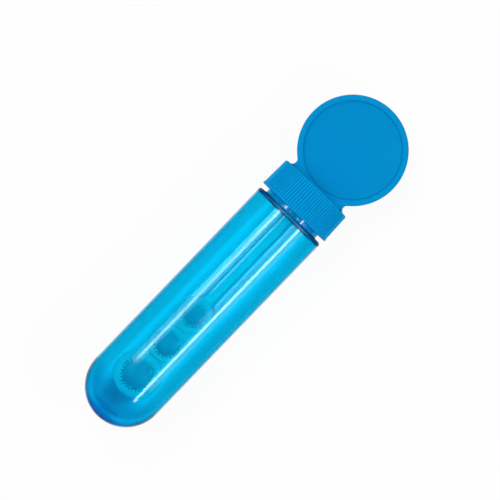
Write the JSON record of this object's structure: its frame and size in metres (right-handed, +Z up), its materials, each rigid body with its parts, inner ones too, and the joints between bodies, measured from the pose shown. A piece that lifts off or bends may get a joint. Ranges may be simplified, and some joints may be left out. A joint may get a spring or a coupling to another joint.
{
  "type": "bubble wand",
  "caption": "Round-ended clear tube with a ribbed screw cap that carries a flat round paddle, and a wand of serrated rings hanging inside it.",
  "frame": {"origin": "on the tube's axis, in the middle of its straight barrel, which is the mount tube_barrel", "axes": "+X along the tube's axis, from its round end to the paddle; +Z up, square to the paddle; a surface that the closed part lies on is 13.45 mm below the origin"},
  "size_m": [0.134, 0.0352, 0.0269],
  "materials": {
    "clear_blue": "clear tinted gloss, as moulded",
    "cap_blue": "satin opaque, as moulded",
    "wand_white": "satin, slightly milky",
    "foam": "soft closed-cell foam"
  },
  "bodies": {
    "tube": {"tube": "clear_blue"},
    "seal": {"seal_washer": "foam"},
    "wand": {"wand": "wand_white"},
    "cap": {"cap": "cap_blue"}
  },
  "joints": [
    {"name": "lift_out", "type": "slide", "parent": "tube", "child": "seal", "axis": [1, 0, 0], "range_m": [0, 0.1]},
    {"name": "cap_rise", "type": "slide", "parent": "seal", "child": "wand", "axis": [1, 0, 0], "range_m": [0, 0.00476]},
    {"name": "cap_turn", "type": "hinge", "parent": "wand", "child": "cap", "pos_m": [0.0469, 0, 0], "axis": [1, 0, 0], "range_deg": [0, 540]}
  ],
  "couplings": [
    {"joint": "cap_rise", "follows": "cap_turn", "m_per_rad": 0.00050532}
  ]
}
